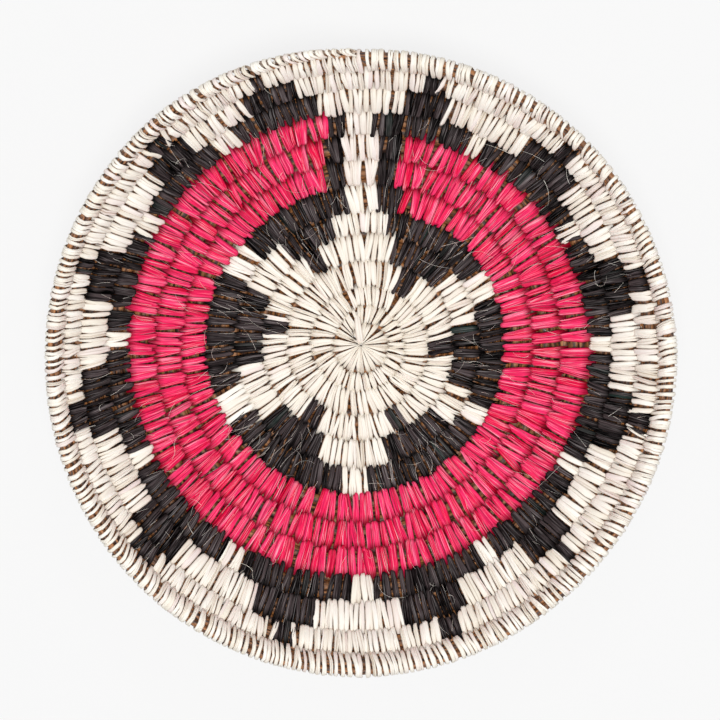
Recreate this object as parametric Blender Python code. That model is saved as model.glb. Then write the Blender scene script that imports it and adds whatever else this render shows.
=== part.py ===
"""A coiled ceremonial basket: a shallow bowl sewn row by row in three colours of splint.

The bowl is one long coil. Three rods lie side by side and wind outwards from the centre of
the base, and flat splints are sewn round them, each stitch biting into the row before. Where
two colours share a row, the colour that rests is carried along inside the coil, under the
stitches of the other, so the stitches of one colour in one row make a single piece.

Metres, +Z up. The doorway, the light gap in the coloured rings, points to +Y. Angles are in
degrees, clockwise from the doorway as seen from above, and places along the coil are counted
in turns from the doorway line of the first, partial turn.
"""

import math

import bmesh
import bpy
from mathutils import Vector

# The coil
COIL_PITCH = 0.0139  # from one row to the next, along the wall
COIL_HEIGHT = 0.0117  # thickness of the wall over one row
CENTRE_HOLE_RADIUS = 0.0008  # what the first curl leaves open
RIDGE_WIDTH = 0.0076  # flat crest of a row, across the row
FIRST_TURN = 0.37  # an even spiral would leave the axis here
START_TURN = -0.20  # the real one starts here, with a curl that is a whole disc
LAST_TURN = 12.985  # the tail ends just before the doorway
THINNING_FROM_TURN = 9.5  # the rods run thinner from here to the rim
THINNING = 0.0006  # lost from the wall's length at the end of the first turn after that
STEPS_A_TURN = 20

# How far each row's outer edge lies past an even spiral, in shares of the pitch
ROW_WANDER_SHARES = (  # one line a turn from turn -1 on, a value every 45 degrees
    (0.00, 0.00, 0.00, 0.00, 0.00, 0.00, 0.22, 0.50),
    (0.75, 0.84, 0.73, 0.63, 0.51, 0.40, 0.30, 0.19),
    (0.43, 0.45, 0.37, 0.23, 0.16, 0.08, 0.11, 0.11),
    (0.14, 0.26, 0.26, 0.11, 0.07, 0.00, 0.00, 0.06),
    (0.14, 0.32, 0.20, 0.06, -0.02, -0.05, -0.08, 0.00),
    (0.16, 0.33, 0.18, 0.05, -0.02, -0.02, 0.00, 0.00),
    (0.01, 0.37, 0.13, -0.04, -0.04, 0.00, 0.12, 0.04),
    (0.07, 0.41, 0.25, -0.06, 0.00, -0.01, 0.03, 0.03),
    (0.12, 0.48, 0.36, 0.07, -0.02, 0.06, 0.06, 0.14),
    (0.17, 0.53, 0.50, 0.07, 0.03, 0.14, 0.10, 0.24),
    (0.16, 0.61, 0.44, 0.06, 0.06, 0.14, 0.06, 0.14),
    (0.19, 0.68, 0.50, 0.17, 0.20, 0.27, 0.21, 0.24),
    (0.07, 0.58, 0.54, 0.17, 0.22, 0.19, 0.09, 0.22),
    (-0.07, 0.35, 0.38, 0.12, 0.24, 0.16, -0.02, 0.08),
)
FIRST_WANDER_TURN = -1
WANDER_STEPS_A_TURN = 8

# The wall
BASE_FLAT_RADIUS = 0.039  # inside this the base is flat
WALL_CURVE_RADIUS = 0.134  # outside it the wall turns up on this radius
RIM_STEEPER_FROM = 0.152  # along the wall, from where the rim stands steeper
RIM_DRAWN_IN = 0.00116  # how far the rim is drawn in at one row past that
DOORWAY_LENGTH_SHARE = 1.012  # the bowl is a little longer along the doorway line
DRIFT_SHARE = 0.021  # and its rows drift away from the doorway as they grow

# The tail, where the last row thins out and is tied down
TAIL_FROM_TURN = 12.89
TAIL_END_SHARE = 0.4  # width of the tail's end, of a whole row

# What the coil is made of
SPLINT_THICKNESS = 0.0010  # sewn splint, with the twist and overlap of its stitches
CARRIED_THICKNESS = 0.0007  # resting splint, flat inside the coil
CLEARANCE = 0.0003  # between pieces that touch
ROD_NEST_SHARE = 0.31  # half height of a rod, of the room that two nested layers fill
ROD_FIRST_TURN = 0.20
ROD_LAST_TURNS = (12.94, 12.90, 12.86)  # the rods end one after another

# Colours by place: row, then from and to in degrees past that row's doorway line
BLACK_STAR_TIPS = (
    (30, 40.5), (83.5, 95.5), (147, 159.5), (210, 221), (276.5, 287.5), (327, 335.5),
)
BLACK_STAR_SIDES = (
    (19.5, 49), (77, 109.5), (130, 168), (202.5, 234), (262.5, 298), (321, 347.5),
)
BLACK_STAR_RING = (
    (12, 57), (68, 115.5), (124.5, 177), (187, 240.5), (254, 300.5), (312, 353.5), (365, 374.5),
)
RED_RUNS = {6: (14.5, 349), 7: (12, 351), 8: (11, 351.5)}
DOOR_BLACK_RUNS = {6: ((349, 355), (365, 372)), 7: ((351, 355.5), (365, 371))}
BLACK_OUTER_RING = (
    (-8.5, -3.5), (2.5, 26.5), (30.5, 56.5), (61.5, 84.5), (89, 115), (119.5, 145.5),
    (149.5, 176.5), (182.5, 210), (215, 243.5), (247, 272), (276, 299.5), (304.5, 325.5),
    (330.5, 350),
)
BLACK_BLOCKS = (
    (9.5, 19.5), (37.5, 50.5), (68, 79.5), (96.5, 109.5), (128.5, 139), (156.5, 170.5),
    (190, 203.5), (223.5, 237), (253.5, 268), (283, 293.5), (311.5, 321), (335.5, 346.5),
)
BLACK_TIPS = (
    (13, 16.5), (43, 46), (71, 75.5), (100, 104.5), (131, 134), (159.5, 163.5),
    (194, 198), (226.5, 232), (257, 262.5), (287.5, 291), (315, 318.5), (338.5, 341),
)

# Degrees between faces from which an edge is drawn sharp
SPLINT_SHARP_FROM = 40
ROD_SHARP_FROM = 89

# Worked out from the sizes above
TURN = 360
HALF_WIDTH = (COIL_PITCH - CLEARANCE) / 2
HALF_HEIGHT = COIL_HEIGHT / 2
HALF_RIDGE = RIDGE_WIDTH / 2
BORE_HALF_HEIGHT = HALF_HEIGHT - SPLINT_THICKNESS
FLANK_LENGTH = math.hypot(HALF_WIDTH - HALF_RIDGE, HALF_HEIGHT)
BORE_HALF_WIDTH = HALF_WIDTH - (
    SPLINT_THICKNESS * FLANK_LENGTH + (HALF_WIDTH - HALF_RIDGE) * BORE_HALF_HEIGHT
) / HALF_HEIGHT
CARRIED_ROOM = CARRIED_THICKNESS + CLEARANCE
CARRIED_HALF_WIDTH = BORE_HALF_WIDTH - CLEARANCE
ROD_ROOM_HALF_WIDTH = BORE_HALF_WIDTH - CLEARANCE
ROD_ROOM_HALF_HEIGHT = BORE_HALF_HEIGHT - CARRIED_ROOM - CLEARANCE
ROD_HALF_WIDTH = (ROD_ROOM_HALF_WIDTH - CLEARANCE / 2) / 2
ROD_HALF_HEIGHT = 2 * ROD_ROOM_HALF_HEIGHT * ROD_NEST_SHARE


def clear_scene():
    for existing in list(bpy.data.objects):
        bpy.data.objects.remove(existing)


def splint_material(name, colour, roughness):
    """Plain dyed or undyed splint: matt plant fibre, no metal in it."""
    material = bpy.data.materials.new(name)
    material.use_nodes = True
    shader = material.node_tree.nodes["Principled BSDF"]
    shader.inputs["Base Color"].default_value = (*colour, 1)
    shader.inputs["Roughness"].default_value = roughness
    shader.inputs["Metallic"].default_value = 0
    material.diffuse_color = (*colour, 1)
    return material


def wander(turn):
    """How far the row at this turn ends past an even spiral."""
    shares = [share for line in ROW_WANDER_SHARES for share in line]
    place = (max(turn, FIRST_WANDER_TURN) - FIRST_WANDER_TURN) * WANDER_STEPS_A_TURN
    step = min(math.floor(place), len(shares) - 2)
    along = min(1, place - step)
    return COIL_PITCH * (shares[step] * (1 - along) + shares[step + 1] * along)


def outer_edge(turn):
    """Where the row at this turn ends, measured along the wall from the axis."""
    thin_turns = max(0, turn - THINNING_FROM_TURN)
    edge = COIL_PITCH * (turn - FIRST_TURN + 1 / 2) - THINNING * thin_turns**2
    return max(CENTRE_HOLE_RADIUS, edge + wander(turn))


def row_edges(turn):
    inner, outer = outer_edge(turn - 1), outer_edge(turn)
    if turn > TAIL_FROM_TURN:
        along = min(1, (turn - TAIL_FROM_TURN) / (LAST_TURN - TAIL_FROM_TURN))
        outer = inner + (outer - inner) * (1 - (1 - TAIL_END_SHARE) * along)
    return inner, outer


def on_wall(along, through):
    """Radius and height of a point, from its way along the wall and its depth in the wall."""
    bend = max(0, along - BASE_FLAT_RADIUS) / WALL_CURVE_RADIUS
    reach = WALL_CURVE_RADIUS - through
    radius = min(along, BASE_FLAT_RADIUS) + reach * math.sin(bend)
    radius -= RIM_DRAWN_IN * (max(0, along - RIM_STEEPER_FROM) / COIL_PITCH) ** 2
    return radius, HALF_HEIGHT + WALL_CURVE_RADIUS - reach * math.cos(bend)


def on_spiral(turn, across, through):
    """A point of the coil's section at this turn, in lengths of a whole row."""
    inner, outer = row_edges(turn)
    width = (outer - inner - CLEARANCE) / (2 * HALF_WIDTH)
    thickness = min(1, (outer - inner) / COIL_PITCH) if turn > THINNING_FROM_TURN else 1
    along = (inner + outer) / 2 + across * width
    radius, height = on_wall(along, through * thickness)
    angle = math.tau * turn
    to_doorway = radius * math.cos(angle) * DOORWAY_LENGTH_SHARE - along * DRIFT_SHARE
    return Vector((radius * math.sin(angle), to_doorway, height))


def on_coil(turn, across, through):
    """The same point on the coil's chords, so that all rows and rods turn at the same angles."""
    step = math.floor(turn * STEPS_A_TURN + 1e-9)
    share = turn * STEPS_A_TURN - step
    near = on_spiral(step / STEPS_A_TURN, across, through)
    if share < 1e-6:
        return near
    return near.lerp(on_spiral((step + 1) / STEPS_A_TURN, across, through), share)


def stations(start, end):
    """The turns at which a piece from start to end has a section."""
    first = math.floor(start * STEPS_A_TURN + 1e-6) + 1
    last = math.ceil(end * STEPS_A_TURN - 1e-6)
    return [start] + [step / STEPS_A_TURN for step in range(first, last)] + [end]


def add_ring(mesh, turn, outline):
    return [mesh.verts.new(on_coil(turn, across, through)) for across, through in outline]


def join_rings(mesh, near, far):
    for corner in range(len(near)):
        after = (corner + 1) % len(near)
        mesh.faces.new((near[corner], near[after], far[after], far[corner]))


def sweep(mesh, turns, outline):
    """The side faces of one outline carried along the coil. Returns its two end rings."""
    rings = [add_ring(mesh, turn, outline) for turn in turns]
    for near, far in zip(rings, rings[1:]):
        join_rings(mesh, near, far)
    return rings[0], rings[-1]


def finish_object(name, mesh, material, sharp_from):
    """Sharp edges start at the given angle, in degrees; the bends along the coil stay smooth."""
    bmesh.ops.recalc_face_normals(mesh, faces=mesh.faces)
    data = bpy.data.meshes.new(name)
    mesh.to_mesh(data)
    mesh.free()
    data.shade_smooth()
    data.set_sharp_from_angle(angle=math.radians(sharp_from))
    data.materials.append(material)
    piece = bpy.data.objects.new(name, data)
    bpy.context.scene.collection.objects.link(piece)
    return piece


def coil_outline():
    """Six corners of a row's section: a crest on each face of the wall, a corner to each side."""
    return (
        (HALF_WIDTH, 0), (HALF_RIDGE, HALF_HEIGHT), (-HALF_RIDGE, HALF_HEIGHT),
        (-HALF_WIDTH, 0), (-HALF_RIDGE, -HALF_HEIGHT), (HALF_RIDGE, -HALF_HEIGHT),
    )


def bore_outline(carried):
    """The room inside the stitches. It is lower on the side where its own splint is carried."""
    top, bottom = BORE_HALF_HEIGHT, BORE_HALF_HEIGHT
    top_width, bottom_width = BORE_HALF_WIDTH, BORE_HALF_WIDTH
    if carried > 0:
        top, top_width = BORE_HALF_HEIGHT - CARRIED_ROOM, CARRIED_HALF_WIDTH
    if carried < 0:
        bottom, bottom_width = BORE_HALF_HEIGHT - CARRIED_ROOM, CARRIED_HALF_WIDTH
    return (top_width, top), (-top_width, top), (-bottom_width, -bottom), (bottom_width, -bottom)


def close_end(mesh, outer, bore, strand, carried):
    """The ring-shaped end of a run of stitches, with the carried splint's end left open."""
    top = [outer[1], outer[2], bore[1], bore[0]]
    bottom = [outer[4], outer[5], bore[3], bore[2]]
    if strand and carried > 0:
        top[3:3] = [strand[1], strand[0]]
    if strand and carried < 0:
        bottom[3:3] = [strand[1], strand[0]]
    for corners in (
        top, (outer[2], outer[3], bore[1]), (outer[3], bore[2], bore[1]),
        (outer[3], outer[4], bore[2]), bottom, (outer[5], outer[0], bore[3]),
        (outer[0], bore[0], bore[3]), (outer[0], outer[1], bore[0]),
    ):
        mesh.faces.new(corners)


def sew_runs(name, runs, material, carried=0):
    """The stitches of one colour in one row, as hollow runs round the rods.

    carried is 1 where the splint is carried under the inner face between its runs, -1 where
    it is carried under the outer face, and 0 where there is one run only.
    """
    mesh = bmesh.new()
    waiting = None
    rest = carried * (BORE_HALF_HEIGHT - CLEARANCE)
    for index, (start, end) in enumerate(runs):
        ends = []
        turns = stations(start, end)
        outers = sweep(mesh, turns, coil_outline())
        bores = sweep(mesh, turns, bore_outline(carried))
        for side, turn in enumerate((start, end)):
            linked = index > 0 if side == 0 else index < len(runs) - 1
            strand = None
            if linked:
                strand = add_ring(
                    mesh, turn,
                    ((carried * CARRIED_HALF_WIDTH, rest), (-carried * CARRIED_HALF_WIDTH, rest)),
                )
            close_end(mesh, outers[side], bores[side], strand, carried)
            own = bores[side][:2] if carried > 0 else bores[side][2:]
            ends.append([own[0], own[1], strand[1], strand[0]] if strand else None)
        if waiting:
            carry_splint(mesh, waiting, (runs[index - 1][1], start), ends[0], carried)
        waiting = ends[1]
    return finish_object(name, mesh, material, SPLINT_SHARP_FROM)


def carry_splint(mesh, near, span, far, carried):
    """The resting splint between two runs of its colour, inside the other colour's stitches."""
    low = carried * (BORE_HALF_HEIGHT - CARRIED_ROOM)
    rest = carried * (BORE_HALF_HEIGHT - CLEARANCE)
    side = carried * CARRIED_HALF_WIDTH
    outline = ((side, low), (-side, low), (-side, rest), (side, rest))
    for turn in stations(*span)[1:-1]:
        ring = add_ring(mesh, turn, outline)
        join_rings(mesh, near, ring)
        near = ring
    join_rings(mesh, near, far)


def half_gap(turn):
    """Half the clearance between two runs in a row, in turns."""
    radius = on_coil(turn, 0, 0).to_2d().length
    return CLEARANCE / 2 / (math.tau * radius)


def trimmed(start, end):
    return start + half_gap(start), end - half_gap(end)


def in_turns(row, spans):
    return [trimmed(row + start / TURN, row + end / TURN) for start, end in spans]


def between(spans, start, end):
    """What the given spans leave free between start and end."""
    edges = [start] + [edge for span in spans for edge in span if start < edge < end] + [end]
    return list(zip(edges[::2], edges[1::2]))


def sew_two_colours(row, black_spans, start, end, natural, black):
    """One row whose black and natural stitches alternate."""
    light = between(black_spans, start, end)
    return [
        sew_runs(f"row_{row:02d}_natural_splint", in_turns(row, light), natural, -1),
        sew_runs(f"row_{row:02d}_black_splint", in_turns(row, black_spans), black, 1),
    ]


def sew_plain_centre(natural):
    """The first curl and the two plain rows round it."""
    curl = sew_runs("start_curl_natural_splint", [trimmed(START_TURN, 1)], natural)
    rows = [
        sew_runs(f"row_{row:02d}_natural_splint", in_turns(row, [(0, TURN)]), natural)
        for row in (1, 2)
    ]
    return [curl, *rows]


def sew_red_rings(natural, black, red):
    """Three red rows, and the black and natural stitches that fill the doorway between them."""
    pieces = [
        sew_runs(f"row_{row:02d}_red_splint", in_turns(row, [span]), red)
        for row, span in RED_RUNS.items()
    ]
    for row, spans in DOOR_BLACK_RUNS.items():
        name = f"doorway_{row:02d}_{row + 1:02d}"
        light = [(spans[0][1], spans[1][0])]
        pieces.append(sew_runs(f"{name}_natural_splint", in_turns(row, light), natural, -1))
        pieces.append(sew_runs(f"{name}_black_splint", in_turns(row, spans), black, 1))
    return pieces


def sew_rim(natural):
    runs = [trimmed(12, LAST_TURN)]
    return sew_runs("row_12_rim_natural_splint", runs, natural)


def rod_centres():
    """Two rods towards the inner face of the wall and one nested below them."""
    height = ROD_ROOM_HALF_HEIGHT - ROD_HALF_HEIGHT
    side = (ROD_ROOM_HALF_WIDTH + CLEARANCE / 2) / 2
    return (-side, height), (side, height), (0, -height)


def lay_rod(name, centre, last_turn, material):
    across, through = centre
    outline = (
        (across + ROD_HALF_WIDTH, through), (across, through + ROD_HALF_HEIGHT),
        (across - ROD_HALF_WIDTH, through), (across, through - ROD_HALF_HEIGHT),
    )
    mesh = bmesh.new()
    ends = sweep(mesh, stations(ROD_FIRST_TURN, last_turn), outline)
    for ring in ends:
        mesh.faces.new(ring)
    rod = finish_object(name, mesh, material, ROD_SHARP_FROM)
    print(f"{name}: least gap between its turns {least_gap(centre, last_turn) * 1000:.2f} mm")
    return rod


def least_gap(centre, last_turn):
    """Shortest way from one turn of a rod to the next, less the rod's own width."""
    points = [on_coil(turn, *centre) for turn in stations(ROD_FIRST_TURN, last_turn)]
    gaps = [
        (here - there).length
        for index, here in enumerate(points)
        for there in points[index + STEPS_A_TURN // 2:]
    ]
    return min(gaps) - 2 * ROD_HALF_WIDTH


def stand_on_origin(pieces):
    """Moves the bowl so that the middle of its outline is over the origin."""
    corners = [vertex.co for piece in pieces for vertex in piece.data.vertices]
    middle = Vector([
        -(max(corner[axis] for corner in corners) + min(corner[axis] for corner in corners)) / 2
        for axis in (0, 1)
    ] + [0])
    for piece in pieces:
        for vertex in piece.data.vertices:
            vertex.co += middle


clear_scene()
natural_splint = splint_material("natural_splint", (0.83, 0.76, 0.64), 0.72)
black_splint = splint_material("black_splint", (0.035, 0.031, 0.033), 0.62)
red_splint = splint_material("red_splint", (0.78, 0.012, 0.075), 0.60)
rod_wood = splint_material("rod_wood", (0.32, 0.125, 0.035), 0.65)

basket = sew_plain_centre(natural_splint)
basket += sew_two_colours(3, BLACK_STAR_TIPS, 0, TURN, natural_splint, black_splint)
basket += sew_two_colours(4, BLACK_STAR_SIDES, 0, TURN, natural_splint, black_splint)
basket += sew_two_colours(5, BLACK_STAR_RING, 0, BLACK_STAR_RING[-1][0], natural_splint, black_splint)
basket += sew_red_rings(natural_splint, black_splint, red_splint)
basket += sew_two_colours(
    9, BLACK_OUTER_RING, BLACK_OUTER_RING[0][1], TURN, natural_splint, black_splint
)
basket += sew_two_colours(10, BLACK_BLOCKS, 0, TURN, natural_splint, black_splint)
basket += sew_two_colours(11, BLACK_TIPS, 0, TURN, natural_splint, black_splint)
basket.append(sew_rim(natural_splint))
for number, (place, last) in enumerate(zip(rod_centres(), ROD_LAST_TURNS), 1):
    basket.append(lay_rod(f"foundation_rod_{number}", place, last, rod_wood))
stand_on_origin(basket)
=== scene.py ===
"""Looks of a coiled ceremonial basket: every stitch of the coil is its own strip of splint."""

import bisect
import math
import random

import bmesh
import bpy
import numpy as np
from mathutils import Matrix, Vector


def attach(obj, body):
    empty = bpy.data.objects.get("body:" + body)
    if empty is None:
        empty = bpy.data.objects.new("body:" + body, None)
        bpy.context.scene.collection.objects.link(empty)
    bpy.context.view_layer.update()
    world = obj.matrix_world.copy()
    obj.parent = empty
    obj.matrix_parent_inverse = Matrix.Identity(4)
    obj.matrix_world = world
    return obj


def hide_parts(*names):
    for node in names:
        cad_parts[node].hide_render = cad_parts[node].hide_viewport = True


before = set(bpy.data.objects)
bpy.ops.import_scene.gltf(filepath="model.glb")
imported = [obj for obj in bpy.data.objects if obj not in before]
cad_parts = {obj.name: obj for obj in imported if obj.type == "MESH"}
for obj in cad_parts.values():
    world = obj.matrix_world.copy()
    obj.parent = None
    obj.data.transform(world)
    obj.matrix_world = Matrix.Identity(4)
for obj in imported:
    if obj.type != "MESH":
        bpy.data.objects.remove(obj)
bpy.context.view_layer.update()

# Foundation rods
# Three peeled brown rods lie side by side and wind out from the centre in one long coil.
# They are the frame that everything is sewn to, and show in the gaps between the stitches.
COIL_PITCH = 0.0139  # from one row to the next, along the wall
COIL_HEIGHT = 0.0117  # thickness of the wall over one row
CENTRE_HOLE_RADIUS = 0.0008
# turns are counted clockwise from the doorway, which is at +Y
FIRST_TURN = 0.37  # where an even spiral's edge would be half a pitch from the axis
START_TURN = -0.20  # where the first curl starts
LAST_TURN = 12.995
THINNING_FROM_TURN = 9.5  # the rods run thinner from here to the rim
THINNING = 0.0006  # lost from the wall's length at the end of the first turn after that
BASE_FLAT_RADIUS = 0.039  # inside this the base is flat
WALL_CURVE_RADIUS = 0.134  # outside it the wall turns up on this radius
DOORWAY_LENGTH_SHARE = 1.012  # the bowl is a little longer along the doorway line
DRIFT_SHARE = 0.021  # and its rows drift away from the doorway as they grow
TAIL_FROM_TURN = 12.89  # from here the last row narrows, down to its share of a row
TAIL_END_SHARE = 0.25
AXIS_X, AXIS_Y = -0.0000585, 0.0055988  # the coil's axis is off the middle of the outline
# how far each row's outer edge lies past an even spiral, in shares of the pitch
ROW_WANDER_SHARES = (  # one line a turn from turn -1 on, a value every 45 degrees
    (0.00, 0.00, 0.00, 0.00, 0.00, 0.00, 0.22, 0.50),
    (0.75, 0.84, 0.73, 0.63, 0.51, 0.40, 0.30, 0.19),
    (0.43, 0.45, 0.37, 0.23, 0.16, 0.08, 0.11, 0.11),
    (0.14, 0.26, 0.26, 0.11, 0.07, 0.00, 0.00, 0.06),
    (0.14, 0.32, 0.20, 0.06, -0.02, -0.05, -0.08, 0.00),
    (0.16, 0.33, 0.18, 0.05, -0.02, -0.02, 0.00, 0.00),
    (0.01, 0.37, 0.13, -0.04, -0.04, 0.00, 0.12, 0.04),
    (0.07, 0.41, 0.25, -0.06, 0.00, -0.01, 0.03, 0.03),
    (0.12, 0.48, 0.36, 0.07, -0.02, 0.06, 0.06, 0.14),
    (0.17, 0.53, 0.50, 0.07, 0.03, 0.14, 0.10, 0.24),
    (0.16, 0.61, 0.44, 0.06, 0.06, 0.14, 0.06, 0.14),
    (0.19, 0.68, 0.50, 0.17, 0.20, 0.27, 0.21, 0.24),
    (0.07, 0.58, 0.54, 0.17, 0.22, 0.19, 0.09, 0.22),
    (-0.07, 0.35, 0.38, 0.12, 0.24, 0.16, -0.02, 0.08),
)
FIRST_WANDER_TURN = -1
WANDER_STEPS_A_TURN = 8
RIM_STEEPER_FROM = 0.152  # along the wall, from where the rim stands steeper
RIM_DRAWN_IN = 0.00116  # how far the rim is drawn in at one row past that

ROD_PLACES = (-0.0043, 0.0043, 0)  # across the row
ROD_HALF_SIZES = ((0.0029, 0.0028), (0.0029, 0.0027), (0.0021, 0.0041))  # across, and high
ROD_TURNS = ((0.0, 12.94), (0.0, 12.90), (0.0, 12.86))  # where each begins and ends
ROD_SWELL = 0.05  # a rod's thickness comes and goes by this share
SWELL_RATES = (37, 11.3)  # radians a turn
ROD_STEPS_A_TURN = 60
ROD_SIDES = 8
SHARP_FROM = math.radians(62)
SPIN_RADIUS = 4  # of the half ring that a rod's blank is spun into
ROD_BROWN = (0.15, 0.050, 0.016, 1)
ROD_PALE = (0.58, 0.24, 0.070, 1)
ROD_PATCH = (0.035, 0.013, 0.007, 1)
ROD_STREAK_SIZE = (0.0006, 0.012)  # width and length
ROD_PATCH_SIZE = (0.004, 0.007)
ROD_PALE_RANGE = (0.3, 0.7)  # of the noise, from none to all
ROD_PATCH_RANGE = (0.38, 0.60)
ROD_ROUGHNESS, ROD_ROUGHNESS_RANGE = 0.45, 0.2
ROD_RIDGES = 0.0002  # how high the streaks stand


def outer_edge(turn):
    """Where the row at this turn ends, along the wall from the axis."""
    thin_turns = np.maximum(0, turn - THINNING_FROM_TURN)
    edge = COIL_PITCH * (turn - FIRST_TURN + 1 / 2) - THINNING * thin_turns**2
    shares = np.ravel(ROW_WANDER_SHARES)
    steps = FIRST_WANDER_TURN + np.arange(len(shares)) / WANDER_STEPS_A_TURN
    edge = edge + COIL_PITCH * np.interp(turn, steps, shares)
    return np.maximum(CENTRE_HOLE_RADIUS, edge)


def row_edges(turn):
    """Where the row at this turn begins and ends, along the wall from the axis."""
    inner = outer_edge(turn - 1)
    tail = np.clip((turn - TAIL_FROM_TURN) / (LAST_TURN - TAIL_FROM_TURN), 0, 1)
    return inner, inner + (outer_edge(turn) - inner) * (1 - (1 - TAIL_END_SHARE) * tail)


def on_bowl(turn, along, through):
    """Points at this angle, this far along the wall and this high over its middle."""
    bend = np.maximum(0, along - BASE_FLAT_RADIUS) / WALL_CURVE_RADIUS
    reach = WALL_CURVE_RADIUS - through
    radius = np.minimum(along, BASE_FLAT_RADIUS) + reach * np.sin(bend)
    radius = radius - RIM_DRAWN_IN * (np.maximum(0, along - RIM_STEEPER_FROM) / COIL_PITCH) ** 2
    height = COIL_HEIGHT / 2 + WALL_CURVE_RADIUS - reach * np.cos(bend)
    angle = math.tau * turn
    across = AXIS_X + radius * np.sin(angle)
    to_doorway = AXIS_Y + radius * np.cos(angle) * DOORWAY_LENGTH_SHARE - along * DRIFT_SHARE
    return np.stack((across, to_doorway, height), axis=-1)


def on_coil(turn, across, through):
    """Points of the row at this turn, from its own centre line, in lengths of a full row."""
    inner, outer = row_edges(turn)
    width = (outer - inner) / COIL_PITCH
    thickness = np.where(turn > THINNING_FROM_TURN, np.minimum(1, width), 1)
    along = np.maximum(CENTRE_HOLE_RADIUS, (inner + outer) / 2 + across * width)
    return on_bowl(turn, along, through * thickness)


def spun_angles(mesh):
    """Where each vertex of a spun blank is: its angle round the spin, and round the ring."""
    places = np.array([vertex.co for vertex in mesh.verts])
    reach = np.hypot(places[:, 0] - SPIN_RADIUS, places[:, 2])
    spin = np.arctan2(places[:, 2], SPIN_RADIUS - places[:, 0]) % math.tau
    return spin, np.arctan2(places[:, 1], SPIN_RADIUS - reach) % math.tau


def set_places(mesh, places):
    """Lays the vertices of a spun blank in the coil."""
    for vertex, place in zip(mesh.verts, places.reshape(-1, 3)):
        vertex.co = place


def finish_piece(name, mesh, material, node, slot):
    """Makes the object, and lets it stand for its CAD node."""
    bmesh.ops.recalc_face_normals(mesh, faces=mesh.faces)
    data = bpy.data.meshes.new(name)
    mesh.to_mesh(data)
    mesh.free()
    data.shade_smooth()
    data.set_sharp_from_angle(angle=SHARP_FROM)
    data.materials.append(material)
    piece = bpy.data.objects.new(name, data)
    bpy.context.scene.collection.objects.link(piece)
    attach(piece, "root")
    if node:
        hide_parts(node)
    return piece


def map_splint(data, across, along):
    """The UV map that runs with the grain: across the strip, and along it, in metres."""
    corners = np.zeros(len(data.loops), dtype=np.int32)
    data.loops.foreach_get("vertex_index", corners)
    grain = np.stack((across.ravel()[corners], along.ravel()[corners]), axis=-1)
    data.uv_layers.new(name="grain").data.foreach_set("uv", grain.ravel())


class Wire:
    """A shader socket that sums can be written on, so that 1 - mask adds its Math node."""

    def __init__(self, tree, socket=None):
        self.tree = tree
        self.socket = socket

    def node(self, kind, settings, inputs, output=0):
        """Any node: its settings first, then what its sockets hold or are linked to."""
        made = self.tree.nodes.new(kind)
        for setting, value in settings.items():
            setattr(made, setting, value)
        for place, value in inputs.items():
            if isinstance(value, Wire):
                self.tree.links.new(value.socket, made.inputs[place])
            else:
                made.inputs[place].default_value = value
        return Wire(self.tree, made.outputs[output])

    def sums(self, operation, *terms):
        return self.node("ShaderNodeMath", {"operation": operation}, dict(enumerate(terms)))

    def __add__(self, other):
        return self.sums("ADD", self, other)

    def __sub__(self, other):
        return self.sums("SUBTRACT", self, other)

    def __rsub__(self, other):
        return self.sums("SUBTRACT", other, self)

    def __mul__(self, other):
        return self.sums("MULTIPLY", self, other)

    def __pow__(self, other):
        return self.sums("POWER", self, other)

    __radd__ = __add__
    __rmul__ = __mul__

    def between(self, low, high):
        """0 at the low value and 1 at the high one, held at both ends."""
        return self.node(
            "ShaderNodeMapRange", {"clamp": True},
            {"Value": self, "From Min": low, "From Max": high},
        )

    def blend(self, first, second):
        """The first colour where this is 0 and the second where it is 1.

        Inputs 6 and 7 of a Mix node are its two colours, and output 2 is the mixed one.
        """
        return self.node(
            "ShaderNodeMix", {"data_type": "RGBA", "clamp_factor": True},
            {"Factor": self, 6: first, 7: second}, 2,
        )


def grain_of(tree, fibre, length, detail=2):
    """Streaks that run along the strip, for fibres of this width and length."""
    start = Wire(tree)
    place = start.node("ShaderNodeUVMap", {"uv_map": "grain"}, {})
    drawn = start.node(
        "ShaderNodeVectorMath", {"operation": "MULTIPLY"},
        {0: place, 1: (1 / fibre, 1 / length, 1)},
    )
    return start.node("ShaderNodeTexNoise", {}, {"Vector": drawn, "Scale": 1, "Detail": detail})


def new_finish(name):
    """A new material, its node tree and its shader."""
    material = bpy.data.materials.new(name)
    material.use_nodes = True
    tree = material.node_tree
    return material, tree, tree.nodes["Principled BSDF"]


def rod_bark():
    """Peeled brown wood, streaked lengthwise and darker in patches."""
    material, tree, shader = new_finish("rod_wood")
    streaks = grain_of(tree, *ROD_STREAK_SIZE)
    patches = grain_of(tree, *ROD_PATCH_SIZE)
    colour = streaks.between(*ROD_PALE_RANGE).blend(ROD_BROWN, ROD_PALE)
    colour = patches.between(*ROD_PATCH_RANGE).blend(colour, ROD_PATCH)
    roughness = ROD_ROUGHNESS + streaks * ROD_ROUGHNESS_RANGE
    tree.links.new(colour.socket, shader.inputs["Base Color"])
    tree.links.new(roughness.socket, shader.inputs["Roughness"])
    ridges = Wire(tree).node(
        "ShaderNodeBump", {}, {"Height": streaks, "Strength": 0.5, "Distance": ROD_RIDGES}
    )
    tree.links.new(ridges.socket, shader.inputs["Normal"])
    return material


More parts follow.
